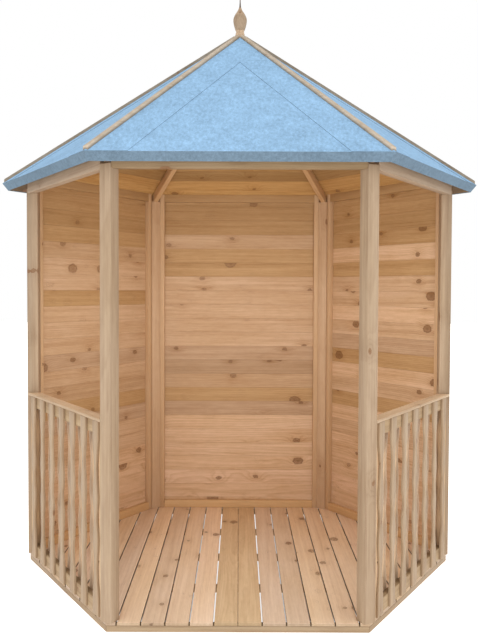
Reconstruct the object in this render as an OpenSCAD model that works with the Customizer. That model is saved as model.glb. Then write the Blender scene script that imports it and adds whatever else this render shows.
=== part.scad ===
// Six-sided timber garden gazebo: boarded floor, three boarded walls, two
// balustrades of shaped pickets, an open front and a felted pyramid roof.
// The front opening faces -Y and the origin is the centre of the floor plan
// at ground level.

/* [Plan] */
// Distance from the centre of the floor to each of its six corners
floor_r = 1050; // [850:10:1400]

/* [Floor] */
// Width of the sill timbers and of the joists, seen from above
bearer_w = 44; // [32:1:70]
// Height of the sill timbers and of the joists
bearer_h = 26; // [20:1:60]
// Number of joists between the front sill and the back sill
joist_count = 3; // [1:1:5]
// Distance from one floor board to the next
floor_pitch = 97; // [70:1:150]
// Gap between two floor boards
floor_gap = 5; // [2:0.5:10]
// Gap between the two middle floor boards, which lie almost tight
floor_mid_gap = 1; // [1:0.5:5]
// Thickness of the floor boards
floor_t = 12; // [10:1:25]

/* [Posts] */
// Side of the square corner posts
post_w = 54; // [44:1:70]
// How far the outer face of a post stands past the corner of the floor
post_proud = 2; // [0:0.5:6]

/* [Wall panels] */
// Depth of the panel framing, from the room to the boards
frame_t = 28; // [20:1:40]
// Width of the upright framing beside a post
stile_w = 28; // [20:1:60]
// Height of the bottom rail of a wall
rail_h = 44; // [30:1:80]
// Thickness of the wall boards
board_t = 12; // [9:1:20]
// How far the wall boards lap down past the top of the floor
board_lap = 12; // [0:1:30]
// How far the underside of a wall's top rail lies below the top of the eaves
top_rail_drop = 0; // [0:1:80]

/* [Headers] */
// How far the underside of the headers lies below the top of the eaves
header_drop = 51; // [35:1:150]

/* [Balustrades] */
// Height of the top of the handrail above the ground
handrail_z = 848; // [700:1:1000]
// Thickness of the handrail
handrail_t = 12; // [10:1:25]
// How far the handrail oversails the pickets on each side
handrail_nose = 5; // [0:1:12]
// Height of the rails that carry the pickets
picket_rail_h = 58; // [40:1:90]
// Number of pickets in one row
picket_count = 7; // [4:1:10]
// Clear distance between a post and the picket next to it
picket_margin = 32; // [22:1:60]
// Width of a picket at its ends
picket_w = 60; // [45:1:80]
// Width of a picket at its two bulges
picket_bulge_w = 52; // [40:1:70]
// Width of a picket at its waists
picket_waist_w = 26; // [18:1:36]
// Thickness of the pickets
picket_t = 10; // [8:1:16]
// Gap above and below a picket
picket_end_gap = 2; // [1:0.5:10]

/* [Roof] */
// How far the eaves corners stand out past the floor corners
eaves_overhang = 129; // [90:1:250]
// Height of the top of the eaves above the ground
eaves_z = 1887; // [1560:1:2300]
// Height of the point where the six roof faces meet above the eaves
roof_rise = 731; // [600:1:900]
// Thickness of a boarded roof panel
panel_t = 41; // [30:1:60]
// Thickness of the felt
felt_t = 3; // [2:0.5:5]
// Width of a hip rafter
rafter_w = 28; // [20:1:40]
// Depth of a hip rafter, square to its length
rafter_h = 48; // [35:1:70]
// Radius of the hexagonal block that the rafters meet at
block_r = 62; // [50:1:90]
// Height of the hexagonal block below the apex of the roof lining
block_h = 130; // [100:1:200]
// Width of the battens on the hips
batten_w = 30; // [20:1:50]
// Height of a hip batten above the felt, square to the hip
batten_t = 11; // [8:1:20]
// Gap between the top end of a hip batten and the skirt of the finial
batten_gap = 3; // [1:1:10]

/* [Finial] */
// Height of the tip of the finial above the roof's apex
finial_h = 205; // [150:1:300]
// Radius of the skirt that sits over the apex
skirt_r = 25; // [20:1:26]
// Radius of the finial at its widest
bulb_r = 33.5; // [26:0.5:45]

/* [Hidden] */
$fn = 64;

// Directions of the six sides and the six corners, anticlockwise from +X
FRONT = -90;
FRONT_RIGHT = -30;
FRONT_LEFT = 210;
BACK = 90;
BACK_RIGHT = 30;
BACK_LEFT = 150;
CORNER_FRONT_LEFT = 240;
CORNER_FRONT_RIGHT = 300;
CORNER_MID_LEFT = 180;
CORNER_MID_RIGHT = 0;
CORNER_BACK_LEFT = 120;
CORNER_BACK_RIGHT = 60;

// Plan: distances from the centre to the flats, called depths here
flat = cos(30);
floor_a = floor_r * flat;
frame_in_a = floor_a - frame_t;
board_out_a = floor_a + board_t;
floor_z = bearer_h + floor_t;
post_r = floor_r + post_proud - post_w / 2;
rail_mid_a = floor_a - frame_t / 2;
handrail_w = frame_t + 2 * picket_t + 2 * handrail_nose;
rail_top_z = handrail_z - handrail_t;
header_z = eaves_z - header_drop;

// Balustrades: the row of pickets fills the bay, less a margin at each post
picket_row_w = 2 * half_bay(floor_a) - 2 * picket_margin;
picket_pitch = (picket_row_w - picket_w) / (picket_count - 1);

// Roof: slope of a face, slope of a hip, and thickness of the whole roof
eaves_r = floor_r + eaves_overhang;
eaves_a = eaves_r * flat;
apex_z = eaves_z + roof_rise;
face_slope = atan(roof_rise / eaves_a);
hip_slope = atan(roof_rise / eaves_r);
roof_t = panel_t + felt_t;
roof_drop = roof_t / cos(face_slope);
rafter_drop = rafter_h / cos(hip_slope);
batten_rise = batten_t / cos(hip_slope);
lining_apex_z = apex_z - roof_drop;
batten_in_r = skirt_r + batten_gap;
// How far cutting solids run past what they cut
over = 100;
// Fitting gap under the roof lining
seat_gap = 0.2;

// Height of the felt, of what seats under the lining, and of a rafter's underside
function face_z(a) = apex_z - a * tan(face_slope);
function seat_z(a) = face_z(a) - roof_drop - seat_gap;
function hip_z(r) = apex_z - r * tan(hip_slope);
function rafter_z(r) = hip_z(r) - roof_drop - rafter_drop;

// A point of a roof face's section: distance up the slope, depth below the felt
function roof_point(up, down) = [
    eaves_a - up * cos(face_slope) - down * sin(face_slope),
    eaves_z + up * sin(face_slope) - down * cos(face_slope)
];

// Half the length between two posts at a depth from the centre
function half_bay(a) = a * tan(30) - post_w / 2 / cos(30);

// Section in the plane of depth (or radius) and height, drawn out sideways
module section(points, width) {
    rotate([90, 0, 0])
        linear_extrude(width, center = true)
            polygon(points);
}

// Solid between two posts, from depth a0 to a1 and height z0 to z1
module bay(a0, a1, z0, z1) {
    translate([0, 0, z0])
        linear_extrude(z1 - z0)
            polygon([
                [a0, -half_bay(a0)], [a1, -half_bay(a1)],
                [a1, half_bay(a1)], [a0, half_bay(a0)]
            ]);
}

// Solid between two posts whose top seats under the roof lining
module bay_to_roof(a0, a1, z0) {
    intersection() {
        bay(a0, a1, z0, apex_z);
        section([
            [a0 - over, z0 - over], [a1 + over, z0 - over],
            [a1 + over, seat_z(a1 + over)], [a0 - over, seat_z(a0 - over)]
        ], 4 * floor_r);
    }
}

// Everything that lies between this side's two hips, seen from above
module side_sector() {
    reach = 2 * eaves_r;
    linear_extrude(2 * apex_z)
        polygon([[0, 0], [reach, -reach * tan(30)], [reach, reach * tan(30)]]);
}

// Space below a plane that is drop millimetres under this side's felt
module below_face(drop) {
    section([
        [-eaves_r, 0], [2 * eaves_r, 0],
        [2 * eaves_r, face_z(2 * eaves_r) - drop], [-eaves_r, face_z(-eaves_r) - drop]
    ], 4 * eaves_r);
}

// Space above the same plane
module above_face(drop) {
    section([
        [-eaves_r, face_z(-eaves_r) - drop], [2 * eaves_r, face_z(2 * eaves_r) - drop],
        [2 * eaves_r, 2 * apex_z], [-eaves_r, 2 * apex_z]
    ], 4 * eaves_r);
}

// ---- Floor ----

module hexagon(a) {
    circle(r = a / flat, $fn = 6);
}

module sill_ring() {
    color("burlywood")
        linear_extrude(bearer_h)
            difference() {
                hexagon(floor_a);
                hexagon(floor_a - bearer_w);
            }
}

module joists() {
    inside_a = floor_a - bearer_w;
    spacing = (2 * floor_a - bearer_w) / (joist_count + 1);
    color("burlywood")
        intersection() {
            linear_extrude(bearer_h)
                hexagon(inside_a);
            for (i = [1 : joist_count])
                translate([-floor_r, -floor_a + bearer_w / 2 + i * spacing - bearer_w / 2, 0])
                    cube([2 * floor_r, bearer_w, bearer_h]);
        }
}

// One floor board to the right of the middle, counted from 0
module floor_board(i) {
    gap_in = i == 0 ? floor_mid_gap : floor_gap;
    x0 = i * floor_pitch + gap_in / 2;
    x1 = (i + 1) * floor_pitch - floor_gap / 2;
    translate([x0, -floor_r, bearer_h])
        cube([x1 - x0, 2 * floor_r, floor_t]);
}

module floor_boards() {
    boards_each_side = ceil(floor_r / floor_pitch);
    color("tan")
        intersection() {
            translate([0, 0, bearer_h])
                linear_extrude(floor_t)
                    hexagon(floor_a);
            for (turn = [0, 180])
                for (i = [0 : boards_each_side - 1])
                    rotate([0, 0, turn])
                        floor_board(i);
        }
}

// ---- Posts ----

module post(corner) {
    r0 = post_r - post_w / 2;
    r1 = post_r + post_w / 2;
    color("burlywood")
        rotate([0, 0, corner])
            section([
                [r0, floor_z], [r1, floor_z], [r1, rafter_z(r1)], [r0, rafter_z(r0)]
            ], post_w);
}

// ---- Walls ----

module wall_frame(side) {
    opening_w = 2 * (half_bay(frame_in_a) - stile_w);
    opening_h = eaves_z - top_rail_drop - rail_h - floor_z;
    color("burlywood")
        rotate([0, 0, side])
            difference() {
                bay_to_roof(frame_in_a, floor_a, floor_z);
                translate([frame_in_a - over, -opening_w / 2, floor_z + rail_h])
                    cube([frame_t + 2 * over, opening_w, opening_h]);
            }
}

module wall_boards(side) {
    color("peru")
        rotate([0, 0, side])
            bay_to_roof(floor_a, board_out_a, floor_z - board_lap);
}

module header(side) {
    color("burlywood")
        rotate([0, 0, side])
            bay_to_roof(frame_in_a, board_out_a, header_z);
}

// ---- Balustrades ----

module balustrade_frame(side) {
    opening_w = 2 * (half_bay(frame_in_a) - stile_w);
    opening_h = rail_top_z - floor_z - 2 * picket_rail_h;
    color("burlywood")
        rotate([0, 0, side])
            difference() {
                bay(frame_in_a, floor_a, floor_z, rail_top_z);
                translate([frame_in_a - over, -opening_w / 2, floor_z + picket_rail_h])
                    cube([frame_t + 2 * over, opening_w, opening_h]);
            }
}

module handrail(side) {
    color("wheat")
        rotate([0, 0, side])
            bay(rail_mid_a - handrail_w / 2, rail_mid_a + handrail_w / 2, rail_top_z, handrail_z);
}

// Half width of a picket at a share of its height: wide ends, three waists
// and two bulges, joined by cosine curves
wave_keys = [
    [0.00, picket_w / 2], [0.09, picket_w / 2], [0.23, picket_waist_w / 2],
    [0.40, picket_bulge_w / 2], [0.50, picket_waist_w / 2], [0.60, picket_bulge_w / 2],
    [0.77, picket_waist_w / 2], [0.91, picket_w / 2], [1.00, picket_w / 2]
];
wave_steps = 6;

function ease(from, to, t) = from + (to - from) * (1 - cos(180 * t)) / 2;

function wave_side(height) = [
    for (k = [0 : len(wave_keys) - 2])
        for (i = [0 : wave_steps - 1])
            if (i == 0 || wave_keys[k][1] != wave_keys[k + 1][1])
                let (t = i / wave_steps, a = wave_keys[k], b = wave_keys[k + 1])
                    [ease(a[1], b[1], t), height * (a[0] + (b[0] - a[0]) * t)],
    [picket_w / 2, height]
];

module picket_outline(height) {
    right = wave_side(height);
    left = [for (i = [len(right) - 1 : -1 : 0]) [-right[i][0], right[i][1]]];
    polygon(concat(right, left));
}

// A row of pickets whose room side lies at depth a0
module pickets(side, a0) {
    height = rail_top_z - floor_z - 2 * picket_end_gap;
    color("wheat")
        rotate([0, 0, side])
            for (i = [0 : picket_count - 1])
                translate([a0, (i - (picket_count - 1) / 2) * picket_pitch, floor_z + picket_end_gap])
                    rotate([90, 0, 90])
                        linear_extrude(picket_t)
                            picket_outline(height);
}

// ---- Roof ----

module roof_panel(side) {
    slope_len = 2 * eaves_r;
    color("peru")
        rotate([0, 0, side])
            intersection() {
                section([
                    roof_point(felt_t, felt_t), roof_point(slope_len, felt_t),
                    roof_point(slope_len, roof_t), roof_point(felt_t, roof_t)
                ], 4 * eaves_r);
                side_sector();
            }
}

module felt(side) {
    slope_len = 2 * eaves_r;
    color("lightsteelblue")
        rotate([0, 0, side])
            intersection() {
                section([
                    roof_point(0, 0), roof_point(slope_len, 0), roof_point(slope_len, felt_t),
                    roof_point(felt_t, felt_t), roof_point(felt_t, roof_t), roof_point(0, roof_t)
                ], 4 * eaves_r);
                side_sector();
            }
}

module hip_rafters() {
    r_in = block_r * flat;
    r_out = post_r + post_w / 4;
    color("burlywood")
        for (corner = [0 : 60 : 300])
            rotate([0, 0, corner])
                difference() {
                    section([
                        [r_in, rafter_z(r_in)], [r_out, rafter_z(r_out)],
                        [r_out, hip_z(r_out)], [r_in, hip_z(r_in)]
                    ], rafter_w);
                    for (turn = [-30, 30])
                        rotate([0, 0, turn])
                            above_face(roof_drop + seat_gap);
                }
}

module apex_block() {
    color("burlywood")
        difference() {
            translate([0, 0, lining_apex_z - block_h])
                rotate([0, 0, 30])
                    cylinder(r = block_r, h = block_h, $fn = 6);
            for (side = [FRONT_RIGHT : 60 : FRONT_RIGHT + 300])
                rotate([0, 0, side])
                    above_face(roof_drop + seat_gap);
        }
}

module hip_battens() {
    color("burlywood")
        for (corner = [0 : 60 : 300])
            rotate([0, 0, corner])
                difference() {
                    section([
                        [batten_in_r, hip_z(batten_in_r) - batten_w],
                        [eaves_r, hip_z(eaves_r) - batten_w],
                        [eaves_r, hip_z(eaves_r) + batten_rise],
                        [batten_in_r, hip_z(batten_in_r) + batten_rise]
                    ], batten_w);
                    intersection() {
                        rotate([0, 0, -30])
                            below_face(0);
                        rotate([0, 0, 30])
                            below_face(0);
                    }
                }
}

// Half outline of the finial: radius and height above the apex
finial_keys = [
    [skirt_r, -20], [skirt_r, 8], [22, 11], [22, 24], [19, 27],
    [bulb_r, 68], [9, 112], [12, 120], [5, 132], [2, finial_h]
];

module finial() {
    color("burlywood")
        difference() {
            translate([0, 0, apex_z])
                rotate_extrude()
                    polygon(concat([[0, -20]], finial_keys, [[0, finial_h]]));
            intersection_for(side = [FRONT_RIGHT : 60 : FRONT_RIGHT + 300])
                rotate([0, 0, side])
                    below_face(0);
        }
}

// ---- Assembly ----

sill_ring();
joists();
floor_boards();
post(CORNER_FRONT_LEFT);  // post_front_left
post(CORNER_FRONT_RIGHT);  // post_front_right
post(CORNER_MID_LEFT);  // post_mid_left
post(CORNER_MID_RIGHT);  // post_mid_right
post(CORNER_BACK_LEFT);  // post_back_left
post(CORNER_BACK_RIGHT);  // post_back_right
wall_frame(BACK);  // wall_frame_back
wall_frame(BACK_LEFT);  // wall_frame_back_left
wall_frame(BACK_RIGHT);  // wall_frame_back_right
wall_boards(BACK);  // wall_boards_back
wall_boards(BACK_LEFT);  // wall_boards_back_left
wall_boards(BACK_RIGHT);  // wall_boards_back_right
header(FRONT);  // header_front
header(FRONT_LEFT);  // header_left
header(FRONT_RIGHT);  // header_right
balustrade_frame(FRONT_LEFT);  // balustrade_frame_left
balustrade_frame(FRONT_RIGHT);  // balustrade_frame_right
pickets(FRONT_LEFT, floor_a);  // outer_pickets_left
pickets(FRONT_RIGHT, floor_a);  // outer_pickets_right
pickets(FRONT_LEFT, frame_in_a - picket_t);  // inner_pickets_left
pickets(FRONT_RIGHT, frame_in_a - picket_t);  // inner_pickets_right
handrail(FRONT_LEFT);  // handrail_left
handrail(FRONT_RIGHT);  // handrail_right
roof_panel(FRONT);  // roof_panel_front
roof_panel(FRONT_LEFT);  // roof_panel_front_left
roof_panel(FRONT_RIGHT);  // roof_panel_front_right
roof_panel(BACK);  // roof_panel_back
roof_panel(BACK_LEFT);  // roof_panel_back_left
roof_panel(BACK_RIGHT);  // roof_panel_back_right
felt(FRONT);  // felt_front
felt(FRONT_LEFT);  // felt_front_left
felt(FRONT_RIGHT);  // felt_front_right
felt(BACK);  // felt_back
felt(BACK_LEFT);  // felt_back_left
felt(BACK_RIGHT);  // felt_back_right
hip_rafters();
apex_block();
hip_battens();
finial();
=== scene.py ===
"""Timber garden gazebo: the boards, felt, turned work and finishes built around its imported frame.

Every size is in metres. A side of the gazebo is modelled facing +X, with depth from the centre along X,
the length of the side along Y and height along Z, and is then turned about Z to its own direction.
"""

import contextlib
import itertools
import math
import random

import bmesh
import bpy
from bpy.props import FloatProperty, FloatVectorProperty, IntProperty, PointerProperty
from mathutils import Matrix, Vector


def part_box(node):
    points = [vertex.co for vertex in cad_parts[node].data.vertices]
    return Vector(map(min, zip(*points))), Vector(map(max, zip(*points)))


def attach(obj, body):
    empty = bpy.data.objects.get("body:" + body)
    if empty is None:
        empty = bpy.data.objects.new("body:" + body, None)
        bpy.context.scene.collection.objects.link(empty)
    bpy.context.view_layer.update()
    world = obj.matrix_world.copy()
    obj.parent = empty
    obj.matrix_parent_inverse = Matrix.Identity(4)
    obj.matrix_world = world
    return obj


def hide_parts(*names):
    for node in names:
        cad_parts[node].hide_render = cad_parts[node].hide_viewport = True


bl_info = {
    "name": "Garden gazebo",
    "version": (1, 0, 0),
    "blender": (4, 5, 0),
    "location": "View3D > Sidebar > Gazebo",
    "description": "Models and finishes a hexagonal timber gazebo around its frame",
    "category": "Object",
}

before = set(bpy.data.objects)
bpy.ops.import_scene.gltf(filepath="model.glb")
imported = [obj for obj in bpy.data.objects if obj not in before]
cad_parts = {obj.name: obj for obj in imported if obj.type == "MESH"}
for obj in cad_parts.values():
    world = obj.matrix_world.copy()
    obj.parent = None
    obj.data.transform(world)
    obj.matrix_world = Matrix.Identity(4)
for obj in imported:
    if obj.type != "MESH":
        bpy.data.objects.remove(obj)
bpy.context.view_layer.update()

SIDES = {"front": -90, "front_right": -30, "back_right": 30, "back": 90, "back_left": 150, "front_left": 210}
CORNERS = {
    "mid_right": 0, "back_right": 60, "back_left": 120,
    "mid_left": 180, "front_left": 240, "front_right": 300,
}
WALLS = ("back", "back_left", "back_right")
FLANKS = {"left": "front_left", "right": "front_right"}
SLANTED = [angle for side, angle in SIDES.items() if side not in ("front", "back")]

# Places read from the frame: heights above the ground, depths of the flats and radii of the corners
FLOOR_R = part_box("sill_ring")[1].x
FLOOR_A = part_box("sill_ring")[1].y
SILL_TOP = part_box("sill_ring")[1].z
DECK_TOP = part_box("floor_boards")[1].z
POST_IN_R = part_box("post_mid_right")[0].x
POST_OUT_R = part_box("post_mid_right")[1].x
POST_W = 2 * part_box("post_mid_right")[1].y
FRAME_IN_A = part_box("wall_frame_back")[0].y
BOARD_OUT_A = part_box("wall_boards_back")[1].y
BOARD_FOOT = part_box("wall_boards_back")[0].z
HEADER_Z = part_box("header_front")[0].z
BALUSTRADE_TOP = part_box("balustrade_frame_left")[1].z
HANDRAIL_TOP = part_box("handrail_left")[1].z
PICKET_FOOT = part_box("outer_pickets_left")[0].z
PICKET_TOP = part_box("outer_pickets_left")[1].z
EAVES_A = -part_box("felt_front")[0].y
EAVES_R = EAVES_A / math.cos(math.radians(30))
EAVES_Z = max(v.co.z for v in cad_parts["felt_front"].data.vertices if v.co.y < -EAVES_A + 1e-4)
APEX_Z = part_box("felt_front")[1].z
FACE_SLOPE = math.atan2(APEX_Z - EAVES_Z, EAVES_A)
HIP_SLOPE = math.atan2(APEX_Z - EAVES_Z, EAVES_R)
ROOF_T = (EAVES_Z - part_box("felt_front")[0].z) / math.cos(FACE_SLOPE)
ROOF_DROP = ROOF_T / math.cos(FACE_SLOPE)
BLOCK_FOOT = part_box("apex_block")[0].z
BLOCK_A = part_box("apex_block")[1].y
FINIAL_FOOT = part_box("finial")[0].z
FINIAL_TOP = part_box("finial")[1].z
FINIAL_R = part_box("finial")[1].x

TAN_30 = math.tan(math.radians(30))
COS_30 = math.cos(math.radians(30))
ROOF_UP = Vector((math.sin(FACE_SLOPE), 0, math.cos(FACE_SLOPE)))
# Length of the roof's slope outside the wall boards
SOFFIT = (EAVES_A - BOARD_OUT_A) / math.cos(FACE_SLOPE)
# Play between two timbers that meet, the extra length that is cut off again, and the distance below which two
# points are one
FIT_GAP = 0.0004
OVER = 0.1
WELD = 0.00005
SHARP = math.radians(25)
SMOOTH = math.radians(35)

timber_numbers = itertools.count(1)


class GazeboSizes(bpy.types.PropertyGroup):
    """Sizes of the timber and felt that a maker would change"""

    arris: FloatProperty(
        name="Arris", description="Radius that planed timber has along its edges", default=0.0022,
        unit="LENGTH")
    bearer_w: FloatProperty(
        name="Bearer width", description="Width of the sills and joists, from above", default=0.044,
        unit="LENGTH")
    joist_count: IntProperty(
        name="Joists", description="Joists between the front and the back sill", default=3, min=1)
    deck_pitch: FloatProperty(
        name="Deck pitch", description="Distance from one floor board to the next", default=0.097,
        unit="LENGTH")
    deck_gap: FloatProperty(
        name="Deck gap", description="Gap between two floor boards", default=0.005, unit="LENGTH")
    deck_mid_gap: FloatProperty(
        name="Middle gap", description="Gap between the two middle floor boards", default=0.001,
        unit="LENGTH")
    board_pitch: FloatProperty(
        name="Board pitch", description="Height of wall that one board covers", default=0.084, unit="LENGTH")
    first_joint: FloatProperty(
        name="First joint", description="Height of the lowest joint between wall boards", default=0.097,
        unit="LENGTH")
    stile_w: FloatProperty(
        name="Stile width", description="Width of the upright framing beside a post", default=0.028,
        unit="LENGTH")
    rail_h: FloatProperty(
        name="Wall rail", description="Height of the bottom rail of a wall", default=0.044, unit="LENGTH")
    picket_rail_h: FloatProperty(
        name="Picket rail", description="Height of the rails that carry the pickets", default=0.058,
        unit="LENGTH")
    handrail_w: FloatProperty(
        name="Handrail width", description="Width of the handrail", default=0.058, unit="LENGTH")
    picket_count: IntProperty(
        name="Pickets", description="Pickets in one row", default=7, min=3)
    picket_margin: FloatProperty(
        name="Picket margin", description="Distance from a post to the next picket", default=0.032,
        unit="LENGTH")
    picket_w: FloatProperty(
        name="Picket width", description="Width of a picket at its ends", default=0.060, unit="LENGTH")
    bulge_w: FloatProperty(
        name="Bulge width", description="Width of a picket at its bulges", default=0.052, unit="LENGTH")
    waist_w: FloatProperty(
        name="Waist width", description="Width of a picket at its waists", default=0.026, unit="LENGTH")
    picket_t: FloatProperty(
        name="Picket thickness", description="Thickness of a picket", default=0.010, unit="LENGTH")
    felt_t: FloatProperty(
        name="Felt thickness", description="Thickness of the felt with its hip strips", default=0.003,
        unit="LENGTH")
    hip_strip_w: FloatProperty(
        name="Hip strip", description="Width of the felt strip on each side of a hip", default=0.150,
        unit="LENGTH")
    rafter_w: FloatProperty(
        name="Rafter width", description="Width of a hip rafter", default=0.028, unit="LENGTH")
    rafter_h: FloatProperty(
        name="Rafter depth", description="Depth of a hip rafter, square to its length", default=0.048,
        unit="LENGTH")
    batten_w: FloatProperty(
        name="Batten width", description="Width of a batten on a hip", default=0.023, unit="LENGTH")
    batten_t: FloatProperty(
        name="Batten height", description="Height of a hip batten above the felt", default=0.011,
        unit="LENGTH")


class GazeboColours(bpy.types.PropertyGroup):
    """Colours of the finishes"""

    post_pale: FloatVectorProperty(
        name="Posts, pale", description="Early wood of the posts, headers and balustrades", subtype="COLOR",
        default=(0.369, 0.290, 0.195), min=0, max=1)
    post_dark: FloatVectorProperty(
        name="Posts, dark", description="Late wood of the posts, headers and balustrades", subtype="COLOR",
        default=(0.245, 0.175, 0.108), min=0, max=1)
    frame_pale: FloatVectorProperty(
        name="Frame, pale", description="Early wood of the wall frames and rafters", subtype="COLOR",
        default=(0.61, 0.45, 0.285), min=0, max=1)
    frame_dark: FloatVectorProperty(
        name="Frame, dark", description="Late wood of the wall frames and rafters", subtype="COLOR",
        default=(0.46, 0.30, 0.17), min=0, max=1)
    lining_pale: FloatVectorProperty(
        name="Wall boards, pale", description="Early wood of the wall boards", subtype="COLOR",
        default=(0.70, 0.525, 0.35), min=0, max=1)
    lining_dark: FloatVectorProperty(
        name="Wall boards, dark", description="Late wood of the wall boards", subtype="COLOR",
        default=(0.43, 0.26, 0.125), min=0, max=1)
    roof_pale: FloatVectorProperty(
        name="Roof boards, pale", description="Early wood of the boards under the felt", subtype="COLOR",
        default=(0.51, 0.345, 0.165), min=0, max=1)
    roof_dark: FloatVectorProperty(
        name="Roof boards, dark", description="Late wood of the boards under the felt", subtype="COLOR",
        default=(0.31, 0.175, 0.065), min=0, max=1)
    deck_pale: FloatVectorProperty(
        name="Floor, pale", description="Early wood of the floor boards", subtype="COLOR",
        default=(0.90, 0.76, 0.59), min=0, max=1)
    deck_dark: FloatVectorProperty(
        name="Floor, dark", description="Late wood of the floor boards", subtype="COLOR",
        default=(0.64, 0.48, 0.33), min=0, max=1)
    batten_pale: FloatVectorProperty(
        name="Battens, pale", description="Early wood of the weathered hip battens", subtype="COLOR",
        default=(0.353, 0.319, 0.25), min=0, max=1)
    batten_dark: FloatVectorProperty(
        name="Battens, dark", description="Late wood of the weathered hip battens", subtype="COLOR",
        default=(0.234, 0.192, 0.138), min=0, max=1)
    knot: FloatVectorProperty(
        name="Knots", description="Heart of a knot", subtype="COLOR",
        default=(0.19, 0.083, 0.030), min=0, max=1)
    felt: FloatVectorProperty(
        name="Felt", description="Mineral surface of the roofing felt", subtype="COLOR",
        default=(0.285, 0.467, 0.67), min=0, max=1)
    # The fold's colour is darker than the felt on top: painted shade on the felt's faces that look out or
    # down
    felt_fold: FloatVectorProperty(
        name="Felt fold", description="Felt where it is folded down at the eaves", subtype="COLOR",
        default=(0.122, 0.176, 0.228), min=0, max=1)
    ground: FloatVectorProperty(
        name="Studio floor", description="Floor that the gazebo stands on", subtype="COLOR",
        default=(0.90, 0.90, 0.90), min=0, max=1)


class GazeboView(bpy.types.PropertyGroup):
    """Where the camera stands and how the studio is lit"""

    distance: FloatProperty(
        name="Distance", description="Distance of the camera in front of the centre of the floor",
        default=4.2413, unit="LENGTH")
    eye_height: FloatProperty(
        name="Eye height", description="Height of the camera above the ground", default=1.3669, unit="LENGTH")
    pitch: FloatProperty(
        name="Pitch", description="How far the camera looks down", default=math.radians(2.0886),
        subtype="ANGLE")
    roll: FloatProperty(
        name="Roll", description="How far the camera leans", default=0.00366, subtype="ANGLE")
    lens: FloatProperty(
        name="Lens", description="Focal length on a frame 36 mm high", default=47.754, unit="CAMERA")
    ambient: FloatProperty(
        name="Ambient", description="Strength of the light from all around", default=1.0)
    fill_power: FloatProperty(
        name="Fill light", description="Power of the soft light under the roof", default=4.3, unit="POWER")
    key_power: FloatProperty(
        name="Key light", description="Power of the large soft light in front", default=85.0, unit="POWER")


# ---- Modelling helpers ----

def pick(piece):
    """Makes one object the selected and active one."""
    bpy.ops.object.select_all(action="DESELECT")
    piece.select_set(True)
    bpy.context.view_layer.objects.active = piece


@contextlib.contextmanager
def editing(piece):
    """Edit mode on one piece with all of it selected, and back to object mode afterwards."""
    pick(piece)
    bpy.ops.object.mode_set(mode="EDIT")
    bpy.ops.mesh.select_all(action="SELECT")
    yield
    bpy.ops.object.mode_set(mode="OBJECT")


def select_edges(piece, wanted):
    """In edit mode, selects only the edges that wanted(edge) says."""
    bpy.ops.mesh.select_all(action="DESELECT")
    mesh = bmesh.from_edit_mesh(piece.data)
    for edge in mesh.edges:
        if wanted(edge):
            edge.select_set(True)
    bmesh.update_edit_mesh(piece.data)


def apply_place(piece):
    """Moves an object's place, turn and size into its mesh."""
    pick(piece)
    bpy.ops.object.transform_apply(location=True, rotation=True, scale=True)


def outwards(degrees, length=1.0, rise=0.0):
    """A direction from the centre at an angle about the vertical axis."""
    return Vector((length * math.cos(math.radians(degrees)), length * math.sin(math.radians(degrees)), rise))


def turn(piece, degrees):
    """Turns a finished piece about the vertical axis."""
    piece.rotation_euler.z = math.radians(degrees)
    apply_place(piece)
    return piece


def shift(piece, offset):
    """Moves a piece without leaving an offset on its object."""
    piece.location = offset
    apply_place(piece)
    return piece


def block(low, high):
    """A squared piece between two opposite corners."""
    low, high = Vector(low), Vector(high)
    bpy.ops.object.select_all(action="DESELECT")
    bpy.ops.mesh.primitive_cube_add(size=1, location=(low + high) / 2)
    piece = bpy.context.object
    piece.scale = high - low
    apply_place(piece)
    return piece


def drawn_line(outline, y=0.0):
    """A line through a list of (x, z) points, all at one y."""
    x, z = outline[0]
    bpy.ops.object.select_all(action="DESELECT")
    bpy.ops.mesh.primitive_plane_add(size=0.01, location=(x, y, z))
    piece = bpy.context.object
    apply_place(piece)
    with editing(piece):
        bpy.ops.mesh.merge(type="CENTER")
        for (x0, z0), (x1, z1) in zip(outline, outline[1:]):
            bpy.ops.mesh.extrude_region_move(TRANSFORM_OT_translate={"value": (x1 - x0, 0, z1 - z0)})
    return piece


def profile_bar(outline, y_low, y_high):
    """A bar along Y with the section drawn by outline, a list of (x, z) corners."""
    piece = drawn_line(outline, y_low)
    with editing(piece):
        bpy.ops.mesh.edge_face_add()
        bpy.ops.mesh.extrude_region_move(TRANSFORM_OT_translate={"value": (0, y_high - y_low, 0)})
        bpy.ops.mesh.select_all(action="SELECT")
        bpy.ops.mesh.normals_make_consistent(inside=False)
    return piece


def cut(piece, point, normal):
    """Cuts away what lies beyond a plane and closes the cut."""
    with editing(piece):
        bpy.ops.mesh.bisect(plane_co=point, plane_no=normal, use_fill=True, clear_outer=True)
    return piece


def soften(piece, radius, segments=2, wanted=None):
    """Rounds the sharp edges of a piece, or only the ones that wanted(edge) says."""
    def sharp(edge):
        crease = len(edge.link_faces) == 2 and edge.calc_face_angle() > SHARP
        return crease and (wanted is None or wanted(edge))

    with editing(piece):
        select_edges(piece, sharp)
        bpy.ops.mesh.bevel(offset=radius, segments=segments, affect="EDGES", clamp_overlap=True)
    return piece


def write_attribute(piece, name, kind, values):
    """Stores one value for each point of a mesh."""
    attribute = piece.data.attributes.get(name) or piece.data.attributes.new(name, kind, "POINT")
    attribute.data.foreach_set("vector" if kind == "FLOAT_VECTOR" else "value", values)


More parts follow.
